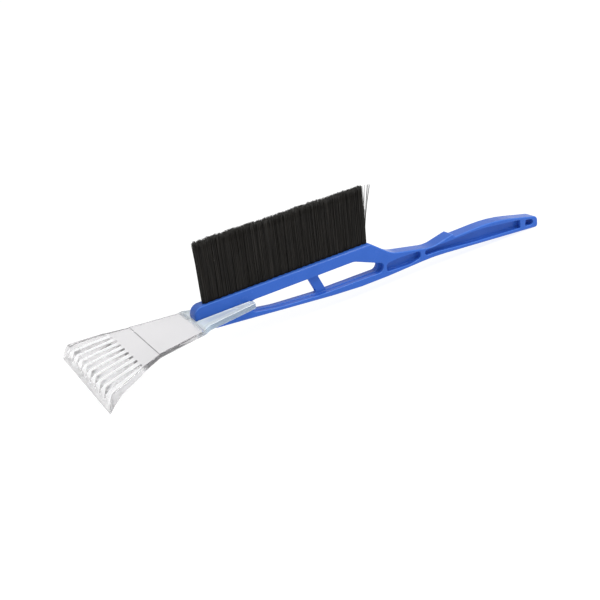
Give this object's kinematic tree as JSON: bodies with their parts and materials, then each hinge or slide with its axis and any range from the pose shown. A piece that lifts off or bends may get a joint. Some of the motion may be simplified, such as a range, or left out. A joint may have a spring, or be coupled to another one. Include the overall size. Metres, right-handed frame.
{
  "type": "snow brush with ice scraper",
  "caption": "Hand snow brush: a slim moulded handle with a row of stiff bristles along its bar and a clear, fan-shaped ice scraper pushed onto its front end.",
  "frame": {"origin": "middle of the object's footprint, at the height of the handle's lowest point", "axes": "+X from the scraper blade to the handle end, +Z from the bar out along the bristles, Y = 0 the plane of symmetry"},
  "size_m": [0.396, 0.1, 0.0836],
  "materials": {
    "blue_plastic": "moulded, semi-gloss",
    "clear_plastic": "clear moulded acrylic, polished",
    "bristle": "stiff extruded filament",
    "staple": "drawn wire"
  },
  "bodies": {
    "handle": {"frame": "blue_plastic", "bristle_tuft_01": "bristle", "bristle_tuft_02": "bristle", "bristle_tuft_03": "bristle", "bristle_tuft_04": "bristle", "bristle_tuft_05": "bristle", "bristle_tuft_06": "bristle", "bristle_tuft_07": "bristle", "bristle_tuft_08": "bristle", "bristle_tuft_09": "bristle", "bristle_tuft_10": "bristle", "bristle_tuft_11": "bristle", "bristle_tuft_12": "bristle", "bristle_tuft_13": "bristle", "bristle_tuft_14": "bristle", "bristle_tuft_15": "bristle", "bristle_tuft_16": "bristle", "bristle_tuft_17": "bristle", "bristle_tuft_18": "bristle", "bristle_tuft_19": "bristle", "bristle_tuft_20": "bristle", "bristle_tuft_21": "bristle", "bristle_tuft_22": "bristle", "bristle_tuft_23": "bristle", "bristle_tuft_24": "bristle", "bristle_tuft_25": "bristle", "bristle_tuft_26": "bristle", "bristle_tuft_27": "bristle", "tuft_anchor_01": "staple", "tuft_anchor_02": "staple", "tuft_anchor_03": "staple", "tuft_anchor_04": "staple", "tuft_anchor_05": "staple", "tuft_anchor_06": "staple", "tuft_anchor_07": "staple", "tuft_anchor_08": "staple", "tuft_anchor_09": "staple", "tuft_anchor_10": "staple", "tuft_anchor_11": "staple", "tuft_anchor_12": "staple", "tuft_anchor_13": "staple", "tuft_anchor_14": "staple", "tuft_anchor_15": "staple", "tuft_anchor_16": "staple", "tuft_anchor_17": "staple", "tuft_anchor_18": "staple", "tuft_anchor_19": "staple", "tuft_anchor_20": "staple", "tuft_anchor_21": "staple", "tuft_anchor_22": "staple", "tuft_anchor_23": "staple", "tuft_anchor_24": "staple", "tuft_anchor_25": "staple", "tuft_anchor_26": "staple", "tuft_anchor_27": "staple"},
    "scraper": {"scraper_head": "clear_plastic"}
  },
  "joints": [
    {"name": "scraper_slide", "type": "slide", "parent": "handle", "child": "scraper", "axis": [-1, 0, 0], "range_m": [0, 0.045]}
  ]
}
